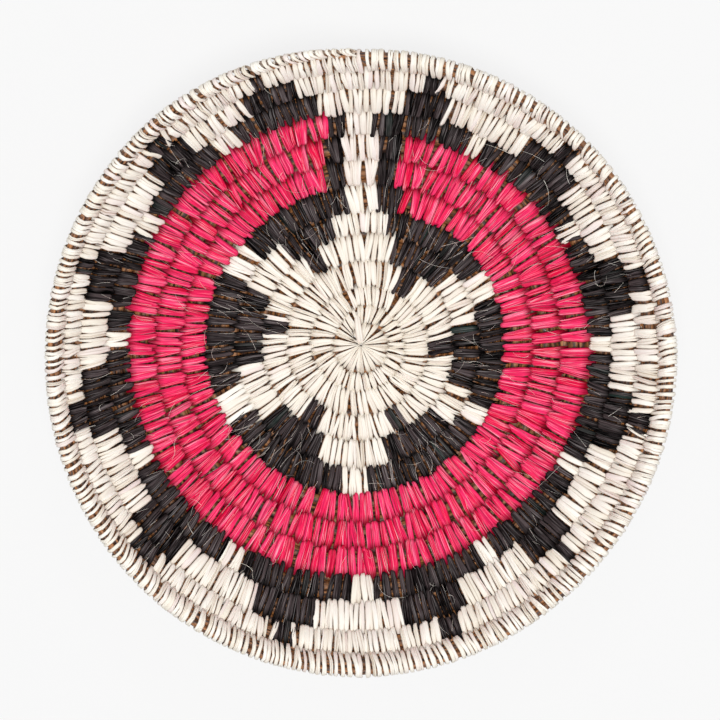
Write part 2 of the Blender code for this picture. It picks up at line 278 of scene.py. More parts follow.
def lay_rod(number, place, half_size, turns, material):
    """A closed tube, spun as a half ring of many steps and then laid out along the coil."""
    first, last = turns
    steps = round((last - first) * ROD_STEPS_A_TURN)
    mesh = bmesh.new()
    bmesh.ops.create_circle(mesh, cap_ends=True, segments=ROD_SIDES, radius=1)
    bmesh.ops.spin(
        mesh, geom=mesh.faces[:], cent=(SPIN_RADIUS, 0, 0), axis=(0, 1, 0), dvec=(0, 0, 0),
        angle=math.pi, steps=steps,
    )
    spin, ring = spun_angles(mesh)
    turn = first + (last - first) * spin / math.pi
    fast, slow = SWELL_RATES
    swell = 1 + ROD_SWELL * np.sin(turn * fast + number * 2) * np.sin(turn * slow + number)
    across = place + half_size[0] * np.cos(ring) * swell
    through = half_size[1] * np.sin(ring) * swell
    set_places(mesh, on_coil(turn, across, through))
    rod = finish_piece(
        f"rod_{number}", mesh, material, f"foundation_rod_{number}", "rod_wood"
    )
    girth = sum(half_size) * math.pi
    length = COIL_PITCH * math.pi * (turn + 1) ** 2  # roughly, of the coil up to each turn
    map_splint(rod.data, girth * np.abs(ring / math.pi - 1) + number, length)


rod_wood = rod_bark()
for number, (place, size, turns) in enumerate(zip(ROD_PLACES, ROD_HALF_SIZES, ROD_TURNS), 1):
    lay_rod(number, place, size, turns, rod_wood)

# Plain centre
# Undyed splints, each a flat strip split from a stem. One after another they go over the
# rods, down through a gap in the row before and back up under the wall. The first ones all
# pass through the small hole in the middle, and the starting end is laid over the top.
STITCH_PATH = (  # across, through the wall, shares of width and jitter, painted shade in a joint
    (-0.0098, 0.0028, 0.36, 1.0, 1.0), (-0.0091, 0.0046, 0.72, 0.9, 0.45),
    (-0.0077, 0.0053, 0.92, 0.7, 0.0), (-0.0040, 0.0056, 1.0, 0.1, 0.0),
    (0.0016, 0.0055, 0.97, 0.0, 0.0), (0.0045, 0.0040, 0.83, -0.6, 0.9),
    (0.0074, 0.0004, 0.40, -1.0, 1.0), (0.0060, -0.0036, 0.80, -0.4, 0.5),
    (0.0000, -0.0057, 1.0, 0.0, 0.0), (-0.0065, -0.0040, 0.85, 0.6, 0.5),
)
POINTEDNESS = ((1.2, 2.2, 5, 6, 9), (1.0, 1.5, 1.4, 0.85, 0.9))  # power of the shares, by turn
END_JITTER = (0.00080, 0.00065)  # how unevenly the inner and the outer ends lie
STITCH_SECTION = (  # across, up, and how much dirt and painted shade it holds
    (0, -0.7, 1), (-0.5, -0.1, 1), (-0.24, 1, 0), (0, 0, 1), (0.24, 1, 0), (0.5, -0.1, 1),
)
CREASE = 3  # the corner that is sunk where a splint has folded or split lengthwise
CREASE_WANDER = 0.14  # how far that corner may lie off the middle, in widths
CREASE_TOP, CREASE_DEPTH = 1.15, 1.5  # how high it lies unsunk, and how far it can sink
CREASE_RARITY = 1.6  # the higher, the fewer are creased
LEANS = (  # how far each inner end lies past its outer end, by turn
    (1, 2, 3, 4, 9, 12, 12.1, 12.9, 12.95),
    (0.0005, 0.0026, 0.0024, 0.0014, 0.0007, 0.0009, 0.0022, 0.0022, 0.0040),
)
LEAN_KEPT, LEAN_CHANGE = 0.85, 0.10  # a stitch leans much like the one before, in widths
SPLITS = ((5.9, 6.1, 8.9, 9.1), (0.40, 0.75, 0.75, 0.15))  # how many are two strands, by turn
SPLIT_FROM_WIDTH = 0.0020  # narrower ones never are
STRAND_SHARES = (0.40, 0.60)  # of the stitch's width
STRAND_SPREAD = (0.40, 0.56)  # between the two strands' outer ends, in widths
STRAND_BITES = 0.15  # from the stitch's own bite to each strand's, in widths
STRAND_OVERLAP = 1.1
UNRULY = ((2, 5), (0.32, 0.15))  # how far the outer ends stray, in widths, by turn
STITCH_CROWN = 0.00048  # how high a strip's back rises over its edges
CROWN_RANGE = (0.75, 1.25)
CROWN_AT_POINT = 0.2  # share of the crown that is left where a strip is pointed
CROWN_FULL_FROM = 0.0022  # narrower strips are flatter
TWIST = 0.14  # how far a strip's edge is tilted up or down, in widths
SWAY = 0.0001  # how far a strip's middle wavers
WIDTH_JITTER = 0.07
SLACK, TIGHTNESS = 0.035, 0.03  # how far a strip stands off the rods or is drawn in, in shares
DRAWN_UNDER = 0.04  # how much closer it lies under the wall
FACES_FROM = 0.004  # through the wall, from where a strip lies on a face
WIDEST_FAN = 1.03  # strips widen outwards with the rows, but little more than that
NEXT_GRAIN = (0.017, 0.23)  # from one strip's place in the grain to the next one's
CREAM = ((1, 3, 6), (1, 0.6, 0))  # how yellowed the undyed splints are, by turn
START_END_ANGLE = -8  # degrees from the doorway
START_END_WIDTH = 0.0035
START_END = (  # from the axis, through the wall, share of the width
    (-0.0006, -0.0030, 0.45), (0.0002, 0.0046, 0.80), (0.0030, 0.0063, 1.0),
    (0.0085, 0.0066, 1.0), (0.0142, 0.0061, 0.85), (0.0168, 0.0040, 0.45),
    (0.0150, 0.0042, 0.80), (0.0090, 0.0054, 0.90), (0.0040, 0.0050, 0.80),
    (0.0012, -0.0010, 0.40),
)
TINY_STEP = 1e-5  # in turns or metres, to find which way a strip faces
LEAST_LENGTH = 1e-12  # so that no direction is divided by zero
CENTRE_STITCH_WIDTH = 0.0014  # at the axis
STITCH_WIDTHS = ((5.9, 6.1, 8.9, 9.1), (0.0027, 0.0038, 0.0038, 0.0027))  # by turn
FULL_WIDTH_RADIUS = 0.040  # from the axis, where stitches reach that width
WIDTH_SPREAD = 0.16
WIDTH_LIMITS = (0.5, 1.45)  # in usual widths
STITCH_GAP = 0.00004
GAP_SHARES = (-0.4, 1.8)  # the least and the most of the usual gap
WIDER_GAP = (0.0004, 0.0012)
LOOSE_SHARE = 0.03  # how often the gap is a wider one
SNAP_SHARE = 0.8  # how far a stitch is drawn towards a gap of the row before
SNAP_RADIUS = 0.080  # from the axis, where it is drawn that far
BITE_JITTER = 0.08  # in widths
PAIRED = 0.25  # share of neighbours whose inner ends are drawn towards each other
DRAWN_TOGETHER = 0.25  # how far each of them moves, in shares of their distance
NEIGHBOUR_TURNS = 0.02  # bites further apart than this belong to two runs


def unit(vectors):
    """The same directions, one long."""
    return vectors / np.maximum(np.linalg.norm(vectors, axis=-1, keepdims=True), LEAST_LENGTH)


def note_splint(data, name, values):
    """A number that the material reads at each vertex."""
    data.attributes.new(name, "FLOAT", "POINT").data.foreach_set("value", values.ravel())


def stitch_blank():
    """A strip closed into a loop, to be drawn round the coil: 10 stations of 6 corners."""
    mesh = bmesh.new()
    bmesh.ops.create_circle(mesh, segments=len(STITCH_SECTION), radius=1)
    bmesh.ops.spin(
        mesh, geom=mesh.edges[:], cent=(SPIN_RADIUS, 0, 0), axis=(0, 1, 0), dvec=(0, 0, 0),
        angle=math.tau, steps=len(STITCH_PATH), use_merge=True,
    )
    spin, ring = spun_angles(mesh)
    station = np.rint(spin / math.tau * len(STITCH_PATH)).astype(int) % len(STITCH_PATH)
    corner = np.rint((ring / math.tau - 1 / 4) * len(STITCH_SECTION)).astype(int)
    blank = bpy.data.meshes.new("stitch_blank")
    mesh.to_mesh(blank)
    mesh.free()
    return blank, station, corner % len(STITCH_SECTION)


def wall_radius(turn):
    """Radius of the row's centre line at this turn."""
    place = on_coil(turn, 0, 0)
    return float(np.hypot(place[0] - AXIS_X, place[1] - AXIS_Y))


sewn = []  # every stitch so far: its turn along the coil, and its width
luck = random.Random(11)


def usual_width(turn):
    """Stitches are narrower where the rows turn tightly."""
    share = min(1, wall_radius(turn) / FULL_WIDTH_RADIUS)
    return CENTRE_STITCH_WIDTH + (np.interp(turn, *STITCH_WIDTHS) - CENTRE_STITCH_WIDTH) * share


def usual_looseness(turn):
    """How often there is a wider gap where stitches lie side by side."""
    return LOOSE_SHARE


def sew_until(end, loose_share=usual_looseness, width_at=usual_width, gap=STITCH_GAP):
    """Sews on along the coil, stitch beside stitch, and leaves a wider gap now and then."""
    turn, before = sewn[-1] if sewn else (START_TURN, 0)
    while True:
        least, most = WIDTH_LIMITS
        width = width_at(turn) * min(most, max(least, luck.gauss(1, WIDTH_SPREAD)))
        room = gap * luck.uniform(*GAP_SHARES)
        if luck.random() < loose_share(turn):
            room += luck.uniform(*WIDER_GAP)
        turn += (before / 2 + room + width / 2) / (math.tau * wall_radius(turn))
        if turn > end:
            return
        sewn.append((turn, width))
        before = width


def inside(turn, spans):
    """Whether this turn lies in one of the spans."""
    return any(start <= turn < end for start, end in spans)


def bite_of(turn, lean):
    """The gap in the row before that the stitch at this turn goes down through."""
    turns = [sewn_turn for sewn_turn, _ in sewn]
    after = bisect.bisect(turns, turn - 1 + lean)
    if after == 0:
        return turn + lean
    near = sewn[max(0, after - 2):after + 2]
    gaps = [
        (left * right_width + right * left_width) / (left_width + right_width) + 1
        for (left, left_width), (right, right_width) in zip(near, near[1:])
    ]
    return min(gaps, key=lambda gap: abs(gap - turn - lean)) if gaps else turn


def split_some(stitches, bites, chance):
    """Strands: turn, bite and width. Wide stitches are often two strands side by side."""
    strands = []
    for (turn, width), bite in zip(stitches, bites):
        pitch = width / (math.tau * wall_radius(turn))
        if width < SPLIT_FROM_WIDTH or chance.random() > np.interp(turn, *SPLITS):
            strands.append((turn, bite, width))
            continue
        share = chance.uniform(*STRAND_SHARES)
        spread = chance.uniform(*STRAND_SPREAD) * pitch
        apart, wide = STRAND_BITES * pitch, width * STRAND_OVERLAP
        strands.append((turn - spread * (1 - share), bite - apart, wide * share))
        strands.append((turn + spread * share, bite + apart, wide * (1 - share)))
    return np.array(strands)


def place_stitches(chosen, chance):
    """Outer ends, as turn and width, and the bites that these stitches go to."""
    lean_change, outer_ends, bites = 0, [], []
    for turn, width in chosen:
        round_wall = math.tau * wall_radius(turn)
        lean_change = LEAN_KEPT * lean_change + chance.normal(0, LEAN_CHANGE)
        lean = (np.interp(turn, *LEANS) + lean_change * width) / round_wall
        bite = turn + lean / 2
        snap = SNAP_SHARE * min(1, wall_radius(turn) / SNAP_RADIUS)
        jitter = chance.normal(0, BITE_JITTER) * width / round_wall
        bites.append(bite + ((bite_of(turn, lean / 2) - bite) * snap + jitter))
        unruly = chance.normal(0, np.interp(turn, *UNRULY)) * width / round_wall
        outer_ends.append((turn - lean / 2 + unruly, width))
    for left, right in zip(range(len(chosen)), range(1, len(chosen))):
        if chance.random() < PAIRED and bites[right] - bites[left] < NEIGHBOUR_TURNS:
            drawn = (bites[right] - bites[left]) * DRAWN_TOGETHER
            bites[left] += drawn
            bites[right] -= drawn
    return outer_ends, bites


def strip_frames(turns, across, through):
    """Points along each strip, and its directions there: sideways, and out of the wall."""
    centre = on_coil(turns, across, through)
    sideways = unit(on_coil(turns + TINY_STEP, across, through) - centre)
    rise = np.roll(through, -1, 1) - np.roll(through, 1, 1)
    run = np.roll(across, -1, 1) - np.roll(across, 1, 1)
    size = np.hypot(rise, run)
    step_across, step_through = rise / size * TINY_STEP, run / size * TINY_STEP
    outward = unit(on_coil(turns, across - step_across, through + step_through) - centre)
    return centre, sideways, outward


def draw_stitches(name, spans, material, node, slot, seed, path=STITCH_PATH):
    """Makes one piece of the stitches whose turns lie in these spans."""
    chance = np.random.default_rng(seed)
    chosen = [stitch for stitch in sewn if inside(stitch[0], spans)]
    outer_ends, bites = place_stitches(chosen, chance)
    turn, bite, width = split_some(outer_ends, bites, chance).T[..., None]
    count = len(turn)
    across, through, share, jitter, depth = np.array(path).T
    to_bite = (across.max() - across) / (across.max() - across.min())
    ends = chance.normal(0, 1, (2, count, 1)) * np.array(END_JITTER)[:, None, None]
    across = across + np.where(jitter > 0, ends[0], ends[1]) * np.abs(jitter)
    slack = np.abs(chance.normal(0, SLACK, (count, 1))) - TIGHTNESS * chance.random((count, 1))
    slack = np.where(through > 0, slack, -DRAWN_UNDER) * (np.abs(through) > FACES_FROM)
    through = through * (1 + slack)
    turns = turn + (bite - turn) * to_bite
    centre, sideways, outward = strip_frames(turns, across, through)
    radius = np.hypot(centre[..., 0] - AXIS_X, centre[..., 1] - AXIS_Y)
    row_radius = np.array([wall_radius(t) for t in turn.ravel()])[:, None]
    fan = radius / row_radius
    breadth = share ** np.interp(turn, *POINTEDNESS) * np.maximum(1, fan)
    breadth = width * np.minimum(breadth, WIDEST_FAN * fan)
    breadth = breadth * (1 + chance.normal(0, WIDTH_JITTER, breadth.shape))
    piece = shape_strips(
        name, centre, sideways, outward, breadth, width, chance, (material, node, slot)
    )
    # painted shade where each strip's ends run into a joint, partly the splint's own darker
    # colour there
    note_splint(piece.data, "depth", np.tile(depth[blank_station], count))
    cream = np.repeat(np.interp(turn, *CREAM), len(blank_station), axis=1)
    note_splint(piece.data, "cream", cream)
    return piece


def shape_strips(name, centre, sideways, outward, breadth, width, chance, kind):
    """Lays a flat closed strip along each row of points, with its own crease, twist and tone."""
    count, stations = breadth.shape
    side, up, dirt_and_shade = np.array(STITCH_SECTION).T
    creased = chance.random((count, 1)) ** CREASE_RARITY
    crease_at = chance.uniform(-CREASE_WANDER, CREASE_WANDER, (count, 1)) * np.ones(stations)
    sunk = np.arange(len(up)) == CREASE
    side = side + ((up > 0) | sunk) * crease_at[..., None]
    up = np.where(sunk, (CREASE_TOP - CREASE_DEPTH * creased)[..., None], up)
    roll = chance.normal(0, TWIST, (count, 1)) * breadth
    thick = STITCH_CROWN * chance.uniform(*CROWN_RANGE, (count, 1))
    thick = thick * np.minimum(1, breadth / width + CROWN_AT_POINT)
    thick = thick * np.minimum(1, width / CROWN_FULL_FROM)
    sway = chance.normal(0, SWAY, breadth.shape)
    offset_side = breadth[..., None] * side + sway[..., None]
    offset_up = thick[..., None] * up + roll[..., None] * side
    places = (
        centre[:, :, None, :]
        + sideways[:, :, None, :] * offset_side[..., None]
        + outward[:, :, None, :] * offset_up[..., None]
    )
    places[..., 2] = np.maximum(places[..., 2], 0)
    mesh = bmesh.new()
    for _ in range(count):
        mesh.from_mesh(blank)
    set_places(mesh, places[:, blank_station, blank_corner])
    piece = finish_piece(name, mesh, *kind)
    number = np.arange(count)[:, None, None]
    length = np.cumsum(np.linalg.norm(centre - np.roll(centre, 1, 1), axis=2), axis=1)[..., None]
    over = (side + 0.5) * width[..., None] + number * NEXT_GRAIN[0]
    over = over[:, blank_station, blank_corner]
    along = np.broadcast_to(length + number * NEXT_GRAIN[1], (count, stations, side.shape[-1]))
    map_splint(piece.data, over, along[:, blank_station, blank_corner])
    # edges, underside and the sunk crease take painted shade along with some dirt
    held = np.where(sunk, creased[..., None], dirt_and_shade)
    held = np.broadcast_to(held, (count, stations, len(dirt_and_shade)))[:, blank_station, blank_corner]
    note_splint(piece.data, "dirt_and_shade", held.copy())
    for note in ("tone", "tint"):
        values = np.repeat(chance.random((count, 1)), len(blank_station), 1)
        note_splint(piece.data, note, values)
    return piece


TONE_POWER = 1.3  # the higher, the more strips stay plain
ODDNESS = 0.9  # how much of the odd colour the oddest strip has
SPLINT_FIBRE_SIZE = (0.00040, 0.020)  # width and length
BLOTCH_SIZE = (0.0025, 0.006)
BLOTCH_RANGE, BLOTCHED = (0.45, 0.8), 0.45  # of the noise, from none to all, and how dull
GROOVE_RANGE = (0.46, 0.34)
# paler fibre streaks, which also stand in for sheen as painted highlights
SHEEN_STREAK_RANGE = (0.53, 0.70)
LEAST_JOINT_SHADE = 0.6  # of a strip's painted shade in a joint, for the plainest one
ROUGHNESS_RANGE = 0.25
FIBRE_RELIEF = 0.00018  # how high the fibres stand


def noted(tree, name):
    """What note_splint wrote."""
    return Wire(tree).node("ShaderNodeAttribute", {"attribute_name": name}, {}, 2)


def splint_finish(
    name, *, plain, dull, odd, odd_rarity, sheen_streak, sheen_streaked, grooved, dirt_and_shade, dirt_and_shade_amount, dirt_and_shade_rarity,
    joint_shade_colour, joint_shade_strength, roughness, shine, creamed=0,
):
    """A split strip of stem: its fibres run lengthwise, and no two strips take dye alike.

    plain to dull is the range of the strips, and a few turn odd. The fibres carry a paler
    streak, which also stands in for sheen as a painted highlight, and darker grooves. The
    strip's edges and creases are darkened with dirt and painted shade, and its ends take
    painted shade, partly the splint's own darker colour, where they run into a joint.
    """
    material, tree, shader = new_finish(name)
    fibres = grain_of(tree, *SPLINT_FIBRE_SIZE, detail=3)
    blotches = grain_of(tree, *BLOTCH_SIZE)
    tone, tint = noted(tree, "tone"), noted(tree, "tint")
    colour = (tone**TONE_POWER).blend(plain, dull)
    colour = (tint**odd_rarity * ODDNESS).blend(colour, odd)
    colour = (noted(tree, "cream") * creamed).blend(colour, dull)
    colour = (blotches.between(*BLOTCH_RANGE) * BLOTCHED).blend(colour, dull)
    colour = (fibres.between(*GROOVE_RANGE) * grooved).blend(colour, dirt_and_shade)
    # paler streaks along the fibres, partly grain and partly painted sheen
    colour = (fibres.between(*SHEEN_STREAK_RANGE) * sheen_streaked).blend(colour, sheen_streak)
    # ends darkened where they run into a joint: painted shade, partly the splint's own darker
    # colour
    darkened = joint_shade_strength * (LEAST_JOINT_SHADE + tone * (1 - LEAST_JOINT_SHADE))
    colour = (noted(tree, "depth") * darkened).blend(colour, joint_shade_colour)
    # edges and creases darkened: painted shade, with some dirt
    colour = (noted(tree, "dirt_and_shade") ** dirt_and_shade_rarity * dirt_and_shade_amount).blend(colour, dirt_and_shade)
    tree.links.new(colour.socket, shader.inputs["Base Color"])
    tree.links.new((roughness + fibres * ROUGHNESS_RANGE).socket, shader.inputs["Roughness"])
    shader.inputs["Specular IOR Level"].default_value = shine
    relief = Wire(tree).node(
        "ShaderNodeBump", {}, {"Height": fibres, "Strength": 0.6, "Distance": FIBRE_RELIEF}
    )
    tree.links.new(relief.socket, shader.inputs["Normal"])
    return material


blank, blank_station, blank_corner = stitch_blank()
# Its paler streaks are partly painted sheen, its dark edges and creases painted shade with some
# dirt, and its darker joint ends painted shade.
natural_splint = splint_finish(
    "natural_splint",
    plain=(0.97, 0.94, 0.87, 1), dull=(0.87, 0.81, 0.695, 1),
    odd=(0.86, 0.74, 0.72, 1), odd_rarity=8,
    sheen_streak=(0.96, 0.945, 0.905, 1), sheen_streaked=0.8, grooved=0.20,
    dirt_and_shade=(0.34, 0.22, 0.145, 1), dirt_and_shade_amount=0.75, dirt_and_shade_rarity=2.8,
    joint_shade_colour=(0.60, 0.48, 0.38, 1), joint_shade_strength=0.35, roughness=0.5, shine=0.4, creamed=0.8,
)
sew_until(3)
draw_stitches(
    "start_curl", [(START_TURN, 1)], natural_splint, "start_curl_natural_splint",
    "natural_splint", seed=1,
)
for row in (1, 2):
    draw_stitches(
        f"row_{row:02d}", [(row, row + 1)], natural_splint, f"row_{row:02d}_natural_splint",
        "natural_splint", seed=row + 1,
    )


def lay_starting_end():
    """The splint's first end, laid over the centre and tucked back under itself."""
    turn = START_END_ANGLE / 360
    along, through, share = np.array(START_END).T
    centre = on_bowl(turn, along, through)[None]
    sideways = np.array((math.cos(math.tau * turn), -math.sin(math.tau * turn), 0))
    run = unit(np.roll(centre, -1, 1) - np.roll(centre, 1, 1))
    shape_strips(
        "starting_end", centre, np.broadcast_to(sideways, centre.shape), np.cross(sideways, run),
        START_END_WIDTH * share[None], np.array([[START_END_WIDTH]]), np.random.default_rng(5),
        (natural_splint, "", "natural_splint"),
    )


lay_starting_end()

# Star rows
# Six black triangles cut a light star out of rows three to five. The black splints are dyed
# and sewn like the undyed ones. Whichever rests is carried along inside the coil.
STAR_BLACK = {  # degrees past the row's doorway line
    3: ((30, 40.5), (83.5, 95.5), (147, 159.5), (210, 221), (276.5, 287.5), (327, 335.5)),
    4: ((19.5, 49), (77, 109.5), (130, 168), (202.5, 234), (262.5, 298), (321, 347.5)),
    5: ((12, 57), (68, 115.5), (124.5, 177), (187, 240.5), (254, 300.5), (312, 353.5),
        (365, 374.5)),
}
STAR_END = 5 + 374.5 / 360


def in_turns(row, spans):
    """Degrees past the row's doorway line, as turns along the coil."""
    return [(row + start / 360, row + end / 360) for start, end in spans]


def between(spans, start, end):
    """What the given spans leave free from start to end."""
    edges = [start] + [edge for span in spans for edge in span if start < edge < end] + [end]
    return list(zip(edges[::2], edges[1::2]))


def draw_two_colours(row, black, start, end, seed):
    """Both pieces of a row: the black runs, and the undyed ones between them."""
    name = f"row_{row:02d}"
    for colour, spans, material in (
        ("natural", between(black, start, end), natural_splint), ("black", black, black_splint),
    ):
        draw_stitches(
            f"{name}_{colour}", spans, material, f"{name}_{colour}_splint",
            f"{colour}_splint", seed,
        )


# Its paler streaks are partly painted sheen, its dark edges and creases painted shade with some
# dirt, and its darker joint ends painted shade.
black_splint = splint_finish(
    "black_splint",
    plain=(0.001, 0.001, 0.001, 1), dull=(0.088, 0.067, 0.069, 1),
    odd=(0.020, 0.050, 0.042, 1), odd_rarity=40,
    sheen_streak=(0.38, 0.35, 0.35, 1), sheen_streaked=0.55, grooved=0.85,
    dirt_and_shade=(0, 0, 0, 1), dirt_and_shade_amount=1.0, dirt_and_shade_rarity=1.2,
    joint_shade_colour=(0, 0, 0, 1), joint_shade_strength=1.0, roughness=0.6, shine=0,
)
star_black = {row: in_turns(row, spans) for row, spans in STAR_BLACK.items()}
sew_until(STAR_END)
draw_two_colours(3, star_black[3], 3, 4, seed=13)
draw_two_colours(4, star_black[4], 4, 5, seed=14)
draw_two_colours(5, star_black[5], 5, star_black[5][-1][0], seed=15)

# Red rings and the doorway
# Three rows in a splint dyed a bright pinkish red. They stop at the doorway, where a light
# way with black edges is sewn through from the star to the outside.
RED_ROWS = {6: (14.5, 349), 7: (12, 351), 8: (11, 351.5)}
DOOR_BLACK = {6: ((349, 355), (365, 372)), 7: ((351, 355.5), (365, 371))}
RED_END = 8 + 351.5 / 360
RED_LOOSE_SHARE = 0.04
STAINED = (0.84, 0.99)  # tints of the doorway's undyed strips: the higher, the pinker

# Its paler streaks are partly painted sheen, its dark edges and creases painted shade with some
# dirt, and its darker joint ends painted shade.
red_splint = splint_finish(
    "red_splint",
    plain=(1.0, 0.036, 0.168, 1), dull=(0.80, 0.006, 0.060, 1),
    odd=(0.95, 0.12, 0.26, 1), odd_rarity=14,
    sheen_streak=(1.0, 0.66, 0.76, 1), sheen_streaked=0.70, grooved=0.45,
    dirt_and_shade=(0.12, 0, 0.004, 1), dirt_and_shade_amount=0.9, dirt_and_shade_rarity=1.8,
    joint_shade_colour=(0.22, 0, 0.006, 1), joint_shade_strength=1.0, roughness=0.5, shine=0.04,
)


def stain(piece, seed):
    """Some dye has run into these light splints."""
    count = len(piece.data.vertices) // len(blank_station)
    tints = np.random.default_rng(seed).uniform(*STAINED, (count, 1))
    tints = np.repeat(tints, len(blank_station), 1)
    piece.data.attributes["tint"].data.foreach_set("value", tints.ravel())


door_black = {row: in_turns(row, spans) for row, spans in DOOR_BLACK.items()}
sew_until(RED_END, lambda turn: RED_LOOSE_SHARE)
for row, span in RED_ROWS.items():
    name = f"row_{row:02d}_red"
    draw_stitches(
        name, in_turns(row, [span]), red_splint, f"{name}_splint", "red_splint",
        seed=row + 20,
    )
for row, black in door_black.items():
    name = f"doorway_{row:02d}_{row + 1:02d}"
    light = [(black[0][1], black[1][0])]
    for colour, spans, material in (
        ("natural", light, natural_splint), ("black", black, black_splint),
    ):
        piece = draw_stitches(
            f"{name}_{colour}", spans, material, f"{name}_{colour}_splint",
            f"{colour}_splint", seed=row + 30,
        )
        if colour == "natural":
            stain(piece, seed=row)

# Peak rows
# Twelve black stepped peaks stand on a nearly whole black row round the red rings, in dyed
# and undyed splint. The black splints lie less close here, and show more of the rods.
PEAK_BLACK = {
    9: ((-8.5, -3.5), (2.5, 26.5), (30.5, 56.5), (61.5, 84.5), (89, 115), (119.5, 145.5),
        (149.5, 176.5), (182.5, 210), (215, 243.5), (247, 272), (276, 299.5), (304.5, 325.5),
        (330.5, 350)),
    10: ((9.5, 19.5), (37.5, 50.5), (68, 79.5), (96.5, 109.5), (128.5, 139), (156.5, 170.5),
         (190, 203.5), (223.5, 237), (253.5, 268), (283, 293.5), (311.5, 321), (335.5, 346.5)),
    11: ((13, 16.5), (43, 46), (71, 75.5), (100, 104.5), (131, 134), (159.5, 163.5),
         (194, 198), (226.5, 232), (257, 262.5), (287.5, 291), (315, 318.5), (338.5, 341)),
}
BLACK_LOOSE_SHARE = 0.05


def looser_black(black):
    """Gaps come more often between black stitches."""
    return lambda turn: BLACK_LOOSE_SHARE if inside(turn, black) else LOOSE_SHARE


peak_black = {row: in_turns(row, spans) for row, spans in PEAK_BLACK.items()}
sew_until(12, looser_black([span for spans in peak_black.values() for span in spans]))
draw_two_colours(9, peak_black[9], peak_black[9][0][1], 10, seed=49)
draw_two_colours(10, peak_black[10], 10, 11, seed=50)
draw_two_colours(11, peak_black[11], 11, 12, seed=51)

# Rim row and tail
# The last row is sewn in undyed splint with its stitches further apart, so that the rods
# show between them. Beside the doorway it thins out and is tied down to the row before.
# the same columns as the stitches' path; the last is painted shade in a joint
RIM_PATH = (
    (-0.0097, 0.0028, 0.40, 1.0, 1.0), (-0.0082, 0.0046, 0.85, 0.8, 0.5),
    (-0.0038, 0.0057, 1.0, 0.2, 0.0), (0.0018, 0.0057, 1.0, 0.0, 0.0),
    (0.0058, 0.0040, 1.0, 0.0, 0.0), (0.0074, 0.0000, 1.0, 0.0, 0.0),
    (0.0058, -0.0042, 1.0, 0.0, 0.0), (0.0008, -0.0058, 1.0, 0.0, 0.0),
    (-0.0042, -0.0052, 1.0, 0.0, 0.2), (-0.0082, -0.0026, 0.75, 0.8, 0.7),
)
RIM_STITCH_WIDTH = 0.0020
RIM_GAP = 0.00095
sew_until(LAST_TURN, lambda turn: 0, lambda turn: RIM_STITCH_WIDTH, RIM_GAP)
draw_stitches(
    "row_12_rim", [(12, LAST_TURN)], natural_splint, "row_12_rim_natural_splint",
    "natural_splint", seed=60, path=RIM_PATH,
)

# Frayed fibres
# Splints fray where they are split and pulled through. Pale loose fibres stand off the
# stitches, and show most on the dyed ones.
FIBRE_STEPS = 8
FIBRE_TIP = 0.35  # its thickness, in shares of the root's
FIBRE_LENGTH, LENGTH_SPREAD = 0.0080, 0.45
FIBRE_LENGTHS = (0.004, 0.018)  # shortest and longest
FIBRE_THICKNESS = (0.00006, 0.00012)
FIBRE_HEIGHT = 0.0066  # over the middle of the wall
FIBRE_LIFT = 0.0009  # how far the free end stands off
FIBRE_LIFT_POWER = 1.5  # it rises faster towards that end
FIBRE_START = 0.006  # how far off the row's middle a fibre may start
START_JITTER = 0.001  # in turns
WILD = 0.25  # share of the fibres that curl away crosswise
HEADINGS = (0.22, 1.2)  # how far a tame and a wild one turn out of the stitches' way
BENDS = (0.30, 1.6)  # and how much they bend
FIBRE_COUNTS = {"star black": 170, "peak black": 90, "red": 110, "natural": 30}


def fibre_blank():
    """A thin three-sided hair, one long and standing on end, with steps along it."""
    mesh = bmesh.new()
    bmesh.ops.create_cone(
        mesh, cap_ends=True, segments=3, radius1=1, radius2=FIBRE_TIP, depth=1,
    )
    long_edges = [e for e in mesh.edges if abs(e.verts[0].co.z - e.verts[1].co.z) > 0.5]
    bmesh.ops.subdivide_edges(mesh, edges=long_edges, cuts=FIBRE_STEPS - 1)
    data = bpy.data.meshes.new("fibre_blank")
    mesh.to_mesh(data)
    mesh.free()
    return data


def fibre_starts(counts, spans_of, chance):
    """Turns of the stitches that the fibres of each colour start on."""
    starts = []
    for colour, count in counts.items():
        turns = [turn for turn, _ in sewn if inside(turn, spans_of[colour])]
        starts += list(chance.choice(turns, count))
    return np.array(starts)[:, None]


